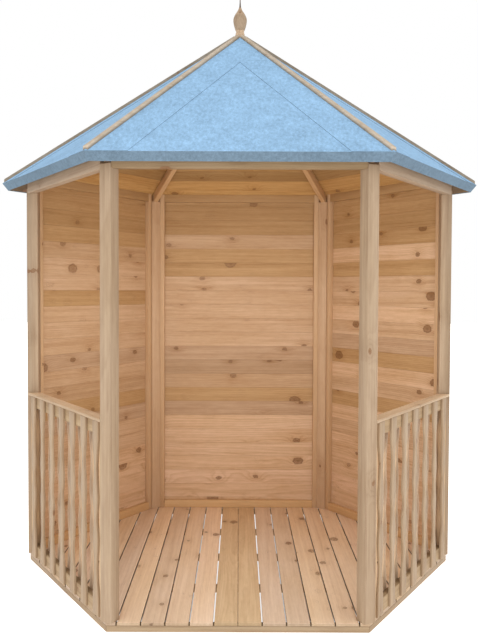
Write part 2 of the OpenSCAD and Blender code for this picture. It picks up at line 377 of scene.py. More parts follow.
def mark_timber(piece, along, face, tone=0.5, warmth=0.5):
    """Stores where each point lies in its own timber: along the grain, across the face, and into the wood.

    along is the direction of the grain and face the direction that the timber's best face looks.
    """
    along, face = Vector(along).normalized(), Vector(face).normalized()
    axes = (along, face.cross(along), face)
    points = [v.co for v in piece.data.vertices]
    write_attribute(piece, "grain", "FLOAT_VECTOR", [axis.dot(p) for p in points for axis in axes])
    number = next(timber_numbers)
    for name, value in (("timber", number), ("tone", tone), ("warmth", warmth)):
        write_attribute(piece, name, "FLOAT", [float(value)] * len(points))
    return piece


def renumber(piece):
    """Gives every timber in a copy a new number, so that no two timbers have the same figure."""
    old = [0.0] * len(piece.data.vertices)
    piece.data.attributes["timber"].data.foreach_get("value", old)
    fresh = {number: float(next(timber_numbers)) for number in sorted(set(old))}
    write_attribute(piece, "timber", "FLOAT", [fresh[number] for number in old])


def plain_copy(piece):
    """A copy with its own mesh and the same grain."""
    pick(piece)
    bpy.ops.object.duplicate(linked=False)
    return bpy.context.object


def copy_of(piece):
    """A copy with its own mesh and its own grain."""
    twin = plain_copy(piece)
    if "timber" in twin.data.attributes:
        renumber(twin)
    return twin


def join(pieces):
    """Joins timbers into one object."""
    bpy.ops.object.select_all(action="DESELECT")
    for piece in pieces:
        piece.select_set(True)
    bpy.context.view_layer.objects.active = pieces[0]
    if len(pieces) > 1:
        bpy.ops.object.join()
    return pieces[0]


def hand_over(piece, name, finishes, nodes):
    """Names a finished piece, gives it its materials and sets it on the frame in place of its CAD nodes."""
    piece.name = name
    piece.data.name = name
    if not piece.data.materials:
        for finish in finishes:
            piece.data.materials.append(finish)
    pick(piece)
    bpy.ops.object.shade_smooth_by_angle(angle=SMOOTH)
    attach(piece, "root")
    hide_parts(*nodes)


def half_bay(depth):
    """Half the distance between two posts at a depth from the centre."""
    return depth * TAN_30 - POST_W / 2 / COS_30


def cut_to_posts(piece, gap=FIT_GAP):
    """Cuts both ends of a timber to the faces of the posts beside it."""
    for hand in (-1, 1):
        normal = Vector((-0.5, hand * COS_30, 0))
        cut(piece, -(POST_W / 2 + gap) * normal, normal)
    return piece


def cut_to_hips(piece, gap=FIT_GAP):
    """Cuts both ends of a roof timber to the upright planes through the hips beside it."""
    for hand in (-1, 1):
        normal = Vector((-0.5, hand * COS_30, 0))
        cut(piece, -gap * normal, normal)
    return piece


def cut_to_plane_below_roof(piece, drop, gap=FIT_GAP):
    """Cuts away what lies above a plane that is drop metres below this side's felt."""
    return cut(piece, (0, 0, APEX_Z - drop - gap), ROOF_UP)


def face_up_by_hip(hand):
    """The way up out of a roof face, for a piece that lies along the hip beside it, on X."""
    return Vector((ROOF_UP.x * COS_30, hand * ROOF_UP.x / 2, ROOF_UP.z))


def face_z(depth):
    """Height of the felt at a depth from the centre."""
    return APEX_Z - depth * math.tan(FACE_SLOPE)


def hip_z(radius):
    """Height of a hip at a radius from the centre."""
    return APEX_Z - radius * math.tan(HIP_SLOPE)


def rafter_z(radius):
    """Height of the underside of a hip rafter."""
    return hip_z(radius) - ROOF_DROP - bpy.context.scene.gazebo_sizes.rafter_h / math.cos(HIP_SLOPE)


def roof_point(up, down):
    """A point of a roof face's section: distance up the slope from the eaves, and depth below the felt."""
    return (
        EAVES_A - up * math.cos(FACE_SLOPE) - down * math.sin(FACE_SLOPE),
        EAVES_Z + up * math.sin(FACE_SLOPE) - down * math.cos(FACE_SLOPE),
    )


# ---- Shader helpers ----

class Wire:
    """The output of a shader node, so that sums on shader values read as Python."""

    def __init__(self, tree, socket):
        self.tree = tree
        self.socket = socket

    def math(self, operation, *values, clamp=False):
        node = self.tree.nodes.new("ShaderNodeMath")
        node.operation = operation
        node.use_clamp = clamp
        for slot, value in zip(node.inputs, values):
            if isinstance(value, Wire):
                self.tree.links.new(value.socket, slot)
            else:
                slot.default_value = value
        return Wire(self.tree, node.outputs[0])

    def __add__(self, other):
        return self.math("ADD", self, other)

    def __sub__(self, other):
        return self.math("SUBTRACT", self, other)

    def __rsub__(self, other):
        return self.math("SUBTRACT", other, self)

    def __mul__(self, other):
        return self.math("MULTIPLY", self, other)

    def __truediv__(self, other):
        return self.math("DIVIDE", self, other)

    __radd__ = __add__
    __rmul__ = __mul__

    def absolute(self):
        return self.math("ABSOLUTE", self)

    def maximum(self, other):
        return self.math("MAXIMUM", self, other)

    def sqrt(self):
        return self.math("SQRT", self)

    def fract(self):
        return self.math("FRACT", self)

    def exp(self):
        return self.math("EXPONENT", self)

    def less_than(self, other):
        return self.math("LESS_THAN", self, other)

    def clamped(self):
        return self.math("ADD", self, 0.0, clamp=True)


class Finish:
    """A material under construction."""

    def __init__(self, name):
        self.material = bpy.data.materials.new(name)
        self.material.use_nodes = True
        self.tree = self.material.node_tree
        self.tree.nodes.clear()

    def node(self, kind, settings=None, sockets=None, output=0):
        """Adds a node: its settings first, then the values or links of its sockets."""
        made = self.tree.nodes.new(kind)
        for name, value in (settings or {}).items():
            if name == "stops":
                for stop, (position, level) in zip(self.ramp_stops(made, len(value)), value):
                    stop.position = position
                    stop.color = (level, level, level, 1)
            else:
                setattr(made, name, value)
        for name, value in (sockets or {}).items():
            slot = made.inputs[name]
            if isinstance(value, Wire):
                self.tree.links.new(value.socket, slot)
            else:
                slot.default_value = value
        return Wire(self.tree, made.outputs[output]) if made.outputs else None

    @staticmethod
    def ramp_stops(node, count):
        """The stops of a colour ramp, as many as asked for."""
        stops = node.color_ramp.elements
        while len(stops) < count:
            stops.new(0.5)
        return list(stops)

    def attribute(self, name, output):
        return self.node("ShaderNodeAttribute", {"attribute_name": name}, output=output)

    def vector(self, operation, first, second, output=0):
        return self.node("ShaderNodeVectorMath", {"operation": operation}, {0: first, 1: second}, output)

    def split(self, vector):
        return [self.node("ShaderNodeSeparateXYZ", None, {0: vector}, axis) for axis in range(3)]

    def combine(self, x, y, z):
        return self.node("ShaderNodeCombineXYZ", None, {0: x, 1: y, 2: z})

    def noise(self, vector, stretch, detail=3.0, roughness=0.5):
        """Noise from 0 to 1 in cells that are 1 / stretch metres along each axis."""
        place = self.vector("MULTIPLY", vector, stretch)
        return self.node("ShaderNodeTexNoise", None,
                         {"Vector": place, "Scale": 1.0, "Detail": detail, "Roughness": roughness})

    def ramp(self, value, stops):
        """Maps a value through a grey ramp of (position, level) stops."""
        return self.node("ShaderNodeValToRGB", {"stops": stops}, {"Fac": value})

    def mix(self, factor, first, second, blend="MIX"):
        """Mixes two colours."""
        settings = {"data_type": "RGBA", "blend_type": blend}
        return self.node("ShaderNodeMix", settings, {0: factor, 6: first, 7: second}, 2)

    def complete(self, colour, roughness, height, bump_depth, bump=0.5, specular=0.25):
        """Ends the material in one principled shader with a bump from height."""
        normal = self.node("ShaderNodeBump", None,
                           {"Height": height, "Distance": bump_depth, "Strength": bump})
        shader = self.node("ShaderNodeBsdfPrincipled", None,
                           {"Base Color": colour, "Roughness": roughness, "Normal": normal,
                            "Specular IOR Level": specular})
        self.node("ShaderNodeOutputMaterial", None, {"Surface": shader})
        return self.material


def opaque(colour):
    """A colour property as the four numbers of a shader socket."""
    return (*colour, 1.0)


def darker(colour, share):
    """A share of a colour property, as the four numbers of a shader socket."""
    return (*(c * share for c in colour), 1.0)


def wood(name, pale, dark, knot, ring_gap=0.0052, figure=0.5, knots=0.25, knot_r=0.007, streaks=0.5,
         umber=0.0, rim=None):
    """Planed softwood. Its rings run round a pith beside each timber, and knots push them aside.

    umber is how much browner a dark timber is than a light one.
    rim is the depth of the hexagon's flats, where the ends of the floor boards have weathered.
    """
    finish = Finish(name)
    grain = finish.attribute("grain", 1)
    timber = finish.attribute("timber", 2)
    tone = finish.attribute("tone", 2)
    warmth = finish.attribute("warmth", 2)
    chance = finish.node("ShaderNodeTexWhiteNoise", {"noise_dimensions": "1D"}, {"W": timber}, 1)
    luck = finish.split(chance)

    # Each timber is sawn from its own place: far along the trunk, and beside or behind the pith
    spread = finish.combine(luck[0] * 90.0, luck[1] * 0.13 - 0.065, luck[2] * 0.05 + 0.03)
    place = finish.vector("ADD", grain, spread)
    along, across, inward = finish.split(place)

    # Knots: one chance of a knot in each cell of the trunk
    cell = finish.vector("MULTIPLY", place, (3.4, 11.0, 0.0))
    settings = {"voronoi_dimensions": "2D", "feature": "F1"}
    kernel = finish.node("ShaderNodeTexVoronoi", settings, {"Vector": cell, "Scale": 1.0}, 2)
    cell_luck = finish.split(finish.node("ShaderNodeTexVoronoi", settings, {"Vector": cell, "Scale": 1.0}, 1))
    offset = finish.vector("SUBTRACT", cell, kernel)
    offset = finish.vector("MULTIPLY", offset, (0.66 / 3.4, 1 / 11.0, 0.0))
    wobble = finish.noise(place, (45.0, 70.0, 70.0), 2.0) - 0.5
    away = finish.vector("LENGTH", offset, (0, 0, 0), 1) + wobble * 0.012
    has_knot = cell_luck[0].less_than(knots)
    radius = knot_r * (0.6 + cell_luck[1] * cell_luck[1] * cell_luck[1] * 1.1)
    heart = finish.ramp(away / radius, [(0.0, 1.0), (0.25, 0.80), (0.60, 0.70), (0.82, 1.0), (1.0, 0.0)])
    heart = heart * has_knot
    halo = (away * away * -900.0).exp() * has_knot

    # Growth rings, warped along the trunk so that flat faces show long arches
    sway = finish.noise(place, (0.8, 5.0, 5.0), 1.0) - 0.5
    ripple = finish.noise(place, (5.0, 26.0, 26.0), 2.0) - 0.5
    out = (across * across + inward * inward).sqrt()
    out = out + sway * 0.05 + ripple * 0.006 + halo * 0.016
    rings = (out / ring_gap).fract()
    late = finish.ramp(rings, [(0.0, 0.05), (0.45, 0.22), (0.86, 1.0), (1.0, 0.05)])
    wide_rings = finish.noise(finish.combine(out * 70.0, along * 0.5, luck[0] * 9.0), (1, 1, 1), 2.0)
    streak = finish.noise(place, (1.1, 62.0, 40.0), 3.0, 0.6)
    fine = finish.noise(place, (5.0, 150.0, 110.0), 2.0)
    fleck = finish.noise(place, (20.0, 75.0, 75.0), 3.0, 0.6)
    fibre = finish.noise(place, (16.0, 420.0, 420.0), 2.0)
    blotch = finish.noise(place, (2.2, 9.0, 9.0), 2.0)

    share = late * (0.5 * figure) + (wide_rings - 0.5) * (1.3 * figure) + (streak - 0.5) * (1.8 * streaks)
    share = share + (fine - 0.5) * (0.9 * streaks) + (fibre - 0.5) * 0.35 + (fleck - 0.5) * 0.5
    share = share + (blotch - 0.5) * 0.6 + halo * 0.35 + (0.34 - 0.22 * figure)
    colour = finish.mix(share.clamped(), opaque(pale), opaque(dark))
    rosy = finish.mix(1.0, colour, (1.0, 0.93, 0.94, 1.0), "MULTIPLY")
    amber = finish.mix(1.0, colour, (1.0, 0.87, 0.68, 1.0), "MULTIPLY")
    colour = finish.mix((warmth + (blotch - 0.5) * 0.6).clamped(), rosy, amber)
    level = tone * 0.50 + 0.75
    deep = (1 - level).clamped() * umber
    shade = finish.combine(level, level * (1 - deep * 0.35), level * (1 - deep))
    colour = finish.mix(1.0, colour, shade, "MULTIPLY")
    colour = finish.mix((heart * 0.88).clamped(), colour, opaque(knot))
    if rim:
        x, y, height = finish.split(finish.node("ShaderNodeTexCoord", output=3))
        slanted = x.absolute() * COS_30 + y.absolute() * 0.5
        depth = slanted.maximum(y.absolute())
        inside = depth.less_than(rim - 0.004)
        # Painted shade: inside the flats, the sides of the floor boards below their tops are painted nearly
        # black, as the shade in the gaps between the boards
        joint = height.less_than(DECK_TOP - 0.0025) * inside
        weathered = finish.ramp((depth - rim + 0.05) / 0.05, [(0.0, 0.0), (0.62, 0.0), (0.78, 1.0)])
        grey = finish.mix(1.0, colour, (0.52, 0.50, 0.47, 1.0), "MULTIPLY")
        colour = finish.mix(weathered * height.less_than(DECK_TOP - 0.0009), colour, grey)
        colour = finish.mix(joint, colour, (0.05, 0.025, 0.012, 1.0))
    height = fibre * 0.35 - late * 0.45 - heart * 0.6 + streak * 0.2
    roughness = 0.56 + streak * 0.12 - heart * 0.12
    return finish.complete(colour, roughness, height, 0.0004, 0.5)


def felt_surface(name, colour, cells):
    """Mineral roofing felt: granules, mottling, and faint marks across the sheet."""
    finish = Finish(name)
    place = finish.node("ShaderNodeTexCoord", output=3)
    granule = finish.node("ShaderNodeTexVoronoi", {"feature": "F1"}, {"Vector": place, "Scale": 420.0}, 0)
    shade = finish.split(finish.node("ShaderNodeTexVoronoi", {"feature": "F1"},
                                     {"Vector": place, "Scale": 420.0}, 1))[0]
    speckle = finish.noise(place, cells, 3.0, 0.7)
    mottle = finish.noise(place, (14.0, 14.0, 14.0), 3.0)
    weather = finish.noise(place, (2.4, 2.4, 2.4), 2.0)
    level = (shade - 0.5) * 0.3 + (speckle - 0.5) * 1.5 + (mottle - 0.5) * 0.6 + (weather - 0.5) * 0.5 + 0.5
    shown = finish.mix(level.clamped(), darker(colour, 0.72), darker(colour, 1.28))
    height = granule * -0.6 + speckle * 0.5 + mottle * 0.8
    return finish.complete(shown, 0.80 + speckle * 0.15, height, 0.0003, 0.4, 0.08)


def studio_floor(colour):
    """The pale studio floor, which also lights the gazebo a little from below, with a painted shadow under
    the gazebo.
    """
    finish = Finish("studio_floor")
    place = finish.node("ShaderNodeTexCoord", output=3)
    x, y, _ = finish.split(place)
    # Under the gazebo the glow is painted dark as its shadow, except strips either side of the middle, under
    # the first gaps and partly the second, which stay white as painted light through the gaps
    outside = finish.ramp((x * x + y * y).sqrt(), [(0.0, 0.0), (0.84, 0.0), (0.92, 1.0)])
    off_centre = finish.ramp(x.absolute(),
                             [(0.0, 1.0), (0.04, 1.0), (0.07, 0.0), (0.13, 0.0), (0.21, 0.6), (0.30, 1.0)])
    below = finish.mix(off_centre, (1, 1, 1, 1), (0.07, 0.04, 0.022, 1))
    glow = finish.mix(outside, below, (1, 1, 1, 1))
    shader = finish.node("ShaderNodeBsdfPrincipled", None, {
        "Base Color": opaque(colour), "Roughness": 0.9, "Specular IOR Level": 0.1,
        "Emission Color": glow, "Emission Strength": 0.9})
    finish.node("ShaderNodeOutputMaterial", None, {"Surface": shader})
    return finish.material


# The colours that each wood takes, and how its figure is drawn
WOODS = {
    "post_wood": ("post", {"figure": 0.5, "knots": 0.40, "knot_r": 0.012, "streaks": 1.0}),
    "frame_wood": ("frame", {"figure": 0.35, "knots": 0.16, "knot_r": 0.008, "streaks": 0.55, "umber": 0.5}),
    "trim_wood": ("post", {"figure": 0.5, "knots": 0.55, "knot_r": 0.006, "streaks": 0.95}),
    "batten_wood": ("batten", {"figure": 0.4, "knots": 0.3, "knot_r": 0.006, "streaks": 0.9}),
    "lining_wood": ("lining", {"figure": 0.6, "ring_gap": 0.0068, "knots": 0.42, "knot_r": 0.017,
                               "streaks": 0.5, "umber": 0.55}),
    "roof_wood": ("roof", {"figure": 0.6, "knots": 0.3, "knot_r": 0.013, "streaks": 0.5}),
    "deck_wood": ("deck", {"figure": 0.55, "knots": 0.32, "knot_r": 0.014, "streaks": 0.6, "rim": FLOOR_A}),
}
# The colour that each felt takes, and how many cells of its speckle fit in a metre along each axis
FELTS = {"mineral_felt": ("felt", (80.0, 42.0, 42.0)), "felt_fold": ("felt_fold", (75.0, 75.0, 75.0))}


def material(name):
    """A finish of the gazebo, made the first time that it is asked for."""
    found = bpy.data.materials.get(name)
    if found:
        return found
    colours = bpy.context.scene.gazebo_colours
    if name in WOODS:
        timber, figure = WOODS[name]
        pale, dark = getattr(colours, f"{timber}_pale"), getattr(colours, f"{timber}_dark")
        return wood(name, pale, dark, colours.knot, **figure)
    colour, cells = FELTS[name]
    return felt_surface(name, getattr(colours, colour), cells)


# ---- Floor ----

class GAZEBO_OT_sill(bpy.types.Operator):
    """Six sill timbers, mitred where they meet"""

    bl_idname = "gazebo.sill"
    bl_label = "Sill timbers"
    bl_options = {"REGISTER", "UNDO"}

    def execute(self, context):
        sizes = context.scene.gazebo_sizes
        timber = block((FLOOR_A - sizes.bearer_w, -FLOOR_R, 0), (FLOOR_A, FLOOR_R, SILL_TOP))
        cut_to_hips(timber)
        soften(timber, sizes.arris)
        mark_timber(timber, (0, 1, 0), (1, 0, 0), 0.45)
        ring = [turn(copy_of(timber), angle) for angle in SIDES.values()]
        bpy.data.objects.remove(timber)
        hand_over(join(ring), "sill_timbers", [material("post_wood")], ["sill_ring"])
        return {"FINISHED"}


class GAZEBO_OT_joists(bpy.types.Operator):
    """Joists from side to side under the floor"""

    bl_idname = "gazebo.joists"
    bl_label = "Joists"
    bl_options = {"REGISTER", "UNDO"}

    def execute(self, context):
        sizes = context.scene.gazebo_sizes
        spacing = (2 * FLOOR_A - sizes.bearer_w) / (sizes.joist_count + 1)
        first = -FLOOR_A + sizes.bearer_w / 2 + spacing
        inside = FLOOR_A - sizes.bearer_w - FIT_GAP
        timbers = []
        for i in range(sizes.joist_count):
            y = first + i * spacing
            timber = block((-FLOOR_R, y - sizes.bearer_w / 2, 0), (FLOOR_R, y + sizes.bearer_w / 2, SILL_TOP))
            for angle in SLANTED:
                cut(timber, inside * outwards(angle), outwards(angle))
            soften(timber, sizes.arris)
            timbers.append(mark_timber(timber, (1, 0, 0), (0, 0, 1), 0.4))
        hand_over(join(timbers), "floor_joists", [material("frame_wood")], ["joists"])
        return {"FINISHED"}


class GAZEBO_OT_deck(bpy.types.Operator):
    """Floor boards from front to back, cut to the six sides"""

    bl_idname = "gazebo.deck"
    bl_label = "Floor boards"
    bl_options = {"REGISTER", "UNDO"}

    def execute(self, context):
        sizes = context.scene.gazebo_sizes
        rng = random.Random(11)
        boards = []
        for hand in (-1, 1):
            for i in range(math.ceil(FLOOR_R / sizes.deck_pitch)):
                inner = (sizes.deck_gap if i else sizes.deck_mid_gap) / 2 + i * sizes.deck_pitch
                outer = min((i + 1) * sizes.deck_pitch - sizes.deck_gap / 2, FLOOR_R)
                low, high = sorted((hand * inner, hand * outer))
                board = block((low, -FLOOR_A, SILL_TOP), (high, FLOOR_A, DECK_TOP))
                if outer > FLOOR_R / 2:
                    for angle in SLANTED:
                        cut(board, FLOOR_A * outwards(angle), outwards(angle))
                soften(board, 0.0018 if i else 0.003)
                tone, warmth = rng.uniform(0.3, 0.75), rng.uniform(0.1, 0.7)
                if i == 0:
                    tone, warmth = 0.25, 1.0
                boards.append(mark_timber(board, (0, 1, 0), (0, 0, 1), tone, warmth))
        hand_over(join(boards), "deck_boards", [material("deck_wood")], ["floor_boards"])
        return {"FINISHED"}


# ---- Posts ----

class GAZEBO_OT_posts(bpy.types.Operator):
    """Six square corner posts, cut at the top to the hip rafters"""

    bl_idname = "gazebo.posts"
    bl_label = "Corner posts"
    bl_options = {"REGISTER", "UNDO"}

    def execute(self, context):
        sizes = context.scene.gazebo_sizes
        outline = [
            (POST_IN_R, DECK_TOP), (POST_OUT_R, DECK_TOP),
            (POST_OUT_R, rafter_z(POST_OUT_R)), (POST_IN_R, rafter_z(POST_IN_R)),
        ]
        post = profile_bar(outline, -POST_W / 2, POST_W / 2)
        soften(post, sizes.arris)
        mark_timber(post, (0, 0, 1), (1, 0, 0), 0.5, 0.2)
        # Brightness of a post's outer and inner face, painted light and shade: the middle posts are painted
        # darker outside and paler inside, against the shade under the roof
        faces = {"front": (0.6, 0.6), "mid": (0.3, 0.9), "back": (0.45, 0.45)}
        for corner, angle in CORNERS.items():
            twin = copy_of(post)
            outer_tone, inner_tone = faces[corner.split("_")[0]]
            write_attribute(twin, "tone", "FLOAT", [
                inner_tone if v.co.x < POST_IN_R + POST_W / 4 else outer_tone for v in twin.data.vertices])
            turn(twin, angle)
            # The back posts stand in the shade, and take the paler frame wood as painted light
            finish = "frame_wood" if corner.startswith("back") else "post_wood"
            hand_over(twin, f"corner_post_{corner}", [material(finish)],
                      [f"post_{corner}"])
        bpy.data.objects.remove(post)
        return {"FINISHED"}


# ---- Walls ----

class GAZEBO_OT_wall_frames(bpy.types.Operator):
    """The framing of the three walls: two stiles, a bottom rail and a top rail"""

    bl_idname = "gazebo.wall_frames"
    bl_label = "Wall frames"
    bl_options = {"REGISTER", "UNDO"}

    def execute(self, context):
        sizes = context.scene.gazebo_sizes
        top = face_z(FRAME_IN_A)
        inner = half_bay(FRAME_IN_A) - sizes.stile_w
        outer = half_bay(FLOOR_A) + OVER
        timbers = []
        for hand in (-1, 1):
            low, high = sorted((hand * inner, hand * outer))
            stile = block((FRAME_IN_A, low, DECK_TOP), (FLOOR_A, high, top))
            cut_to_plane_below_roof(cut_to_posts(stile), ROOF_DROP)
            soften(stile, sizes.arris)
            timbers.append(mark_timber(stile, (0, 0, 1), (-1, 0, 0), 0.55, 0.5))
        # The bottom rail is painted paler than the top rail: painted light near the floor, painted shade
        # under the eaves
        for low, high, tone in ((DECK_TOP, DECK_TOP + sizes.rail_h, 0.75), (EAVES_Z, top, 0.0)):
            rail = block((FRAME_IN_A, -inner + FIT_GAP, low), (FLOOR_A, inner - FIT_GAP, high))
            cut_to_plane_below_roof(rail, ROOF_DROP)
            soften(rail, sizes.arris)
            timbers.append(mark_timber(rail, (0, 1, 0), (-1, 0, 0), tone, 1.0))
        wall = join(timbers)
        for side in WALLS:
            twin = turn(copy_of(wall), SIDES[side])
            hand_over(twin, f"wall_framing_{side}", [material("frame_wood")],
                      [f"wall_frame_{side}"])
        bpy.data.objects.remove(wall)
        return {"FINISHED"}


# Brightness and warmth of a wall board: h is a pale board, l a light one, m a middling one, s a shaded one,
# o an orange one, d a dark one, and p and q pinkish ones. BOARD_ORDER goes up each wall from its foot.
BOARD_SHADES = {
    "m": (0.36, 0.30), "l": (0.62, 0.30), "h": (0.78, 0.05), "s": (0.20, 0.35),
    "d": (-0.09, 1.05), "o": (0.04, 1.10), "p": (0.15, -0.10), "q": (-0.05, 0.10),
}
# Besides the boards' own differences, the order paints light and shade: pale boards at the foot, lit from the
# floor, and dark ones at the top, in the shade under the roof
BOARD_ORDER = {"back": "llhllllposqpmmmmmoosddddd", "back_left": "lllllmmposmpmmmommsodoooo",
               "back_right": "llhlllmlomlopmlmmolodoooo"}


def match_board(x_in, x_out, foot, head, length):
    """A tongued and grooved board that stands on edge, with a fine joint inside and a V joint outside."""
    inner_v, outer_v = 0.0005, 0.0025
    tongue_t, tongue_h, play = 0.004, 0.005, 0.0002
    middle = (x_in + x_out) / 2
    left, right = middle - tongue_t / 2, middle + tongue_t / 2
    outline = [
        (x_in + inner_v, foot + play), (left - play, foot + play), (left - play, foot + tongue_h + play),
        (right + play, foot + tongue_h + play), (right + play, foot + play), (x_out - outer_v, foot + play),
        (x_out, foot + outer_v), (x_out, head - outer_v), (x_out - outer_v, head - play / 2),
        (right, head - play / 2), (right, head + tongue_h), (left, head + tongue_h),
        (left, head - play / 2), (x_in + inner_v, head - play / 2), (x_in, head - inner_v),
        (x_in, foot + inner_v),
    ]
    return profile_bar(outline, -length / 2, length / 2)


class GAZEBO_OT_wall_boards(bpy.types.Operator):
    """Matched boards on the three walls, one above the other"""

    bl_idname = "gazebo.wall_boards"
    bl_label = "Wall boards"
    bl_options = {"REGISTER", "UNDO"}

    def execute(self, context):
        sizes = context.scene.gazebo_sizes
        top = face_z(FLOOR_A) - ROOF_DROP
        length = 2 * half_bay(BOARD_OUT_A) + OVER
        joints = [BOARD_FOOT, sizes.first_joint]
        while joints[-1] + sizes.board_pitch < top:
            joints.append(joints[-1] + sizes.board_pitch)
        joints.append(top + OVER)
        full = match_board(FLOOR_A, BOARD_OUT_A, sizes.first_joint, joints[2], length)
        cut_to_posts(full)
        mark_timber(full, (0, 1, 0), (-1, 0, 0))
        boards = []
        for k, (foot, head) in enumerate(zip(joints, joints[1:])):
            if 0 < k < len(joints) - 2:
                board = shift(copy_of(full), (0, 0, foot - sizes.first_joint))
            else:
                board = match_board(FLOOR_A, BOARD_OUT_A, foot, head, length)
                cut_to_plane_below_roof(cut_to_posts(board), ROOF_DROP)
            boards.append(board)
        bpy.data.objects.remove(full)
        for side in WALLS:
            twins = []
            for board, shade in zip(boards, BOARD_ORDER[side]):
                tone, warmth = BOARD_SHADES[shade]
                twins.append(mark_timber(plain_copy(board), (0, 1, 0), (-1, 0, 0), tone, warmth))
            hand_over(turn(join(twins), SIDES[side]), f"wall_boarding_{side}",
                      [material("lining_wood")], [f"wall_boards_{side}"])
        for board in boards:
            bpy.data.objects.remove(board)
        return {"FINISHED"}


class GAZEBO_OT_headers(bpy.types.Operator):
    """Headers over the three open sides"""

    bl_idname = "gazebo.headers"
    bl_label = "Headers"
    bl_options = {"REGISTER", "UNDO"}

    def execute(self, context):
        sizes = context.scene.gazebo_sizes
        length = half_bay(BOARD_OUT_A) + OVER
        header = block((FRAME_IN_A, -length, HEADER_Z), (BOARD_OUT_A, length, face_z(FRAME_IN_A)))
        cut_to_plane_below_roof(cut_to_posts(header), ROOF_DROP)
        soften(header, sizes.arris)
        # Brightness and warmth of each header: the front one is painted dark as the shadow of the eaves, the
        # flank ones paler
        shades = {"front": (0.08, 0.9), "left": (0.5, -0.1), "right": (0.5, -0.1)}
        for name, (tone, warmth) in shades.items():
            side = FLANKS.get(name, name)
            twin = turn(mark_timber(copy_of(header), (0, 1, 0), (1, 0, 0), tone, warmth), SIDES[side])
            hand_over(twin, f"header_timber_{name}", [material("post_wood")],
                      [f"header_{name}"])
        bpy.data.objects.remove(header)
        return {"FINISHED"}


# ---- Balustrades ----

class GAZEBO_OT_balustrades(bpy.types.Operator):
    """Rails and stiles that carry the pickets, and the handrails on top"""

    bl_idname = "gazebo.balustrades"
    bl_label = "Balustrades"
    bl_options = {"REGISTER", "UNDO"}

    def execute(self, context):
        sizes = context.scene.gazebo_sizes
        inner = half_bay(FRAME_IN_A) - sizes.stile_w
        outer = half_bay(FLOOR_A) + OVER
        timbers = []
        for hand in (-1, 1):
            low, high = sorted((hand * inner, hand * outer))
            stile = block((FRAME_IN_A, low, DECK_TOP), (FLOOR_A, high, BALUSTRADE_TOP - FIT_GAP))
            soften(cut_to_posts(stile), sizes.arris)
            # The stiles are painted very pale: painted light in the deep shade between the rows of pickets
            timbers.append(mark_timber(stile, (0, 0, 1), (1, 0, 0), 2.2, 0.5))
        top_rail = BALUSTRADE_TOP - FIT_GAP - sizes.picket_rail_h
        for foot in (DECK_TOP, top_rail):
            rail = block((FRAME_IN_A, -inner + FIT_GAP, foot),
                         (FLOOR_A, inner - FIT_GAP, foot + sizes.picket_rail_h))
            soften(rail, sizes.arris)
            # The rails are painted paler too: painted light in the shade behind the pickets
            timbers.append(mark_timber(rail, (0, 1, 0), (1, 0, 0), 0.6, 0.8))
        carrier = join(timbers)
        middle = (FRAME_IN_A + FLOOR_A) / 2
        handrail = block((middle - sizes.handrail_w / 2, -outer, BALUSTRADE_TOP),
                         (middle + sizes.handrail_w / 2, outer, HANDRAIL_TOP))
        soften(cut_to_posts(handrail), 0.0035, 3,
               lambda edge: abs(edge.verts[0].co.y - edge.verts[1].co.y) > 0.1)
        mark_timber(handrail, (0, 1, 0), (0, 0, 1), 1.1, 0.3)
        # Painted highlight: the top face is painted far paler than the sides, against the shade of the roof
        # over it
        write_attribute(handrail, "tone", "FLOAT",
                        [2.6 if v.co.z > HANDRAIL_TOP - 0.0005 else 1.1 for v in handrail.data.vertices])
        for name, side in FLANKS.items():
            twin = turn(copy_of(carrier), SIDES[side])
            hand_over(twin, f"balustrade_{name}", [material("post_wood")],
                      [f"balustrade_frame_{name}"])
            twin = turn(copy_of(handrail), SIDES[side])
            hand_over(twin, f"handrail_timber_{name}", [material("trim_wood")],
                      [f"handrail_{name}"])
        bpy.data.objects.remove(carrier)
        bpy.data.objects.remove(handrail)
        return {"FINISHED"}


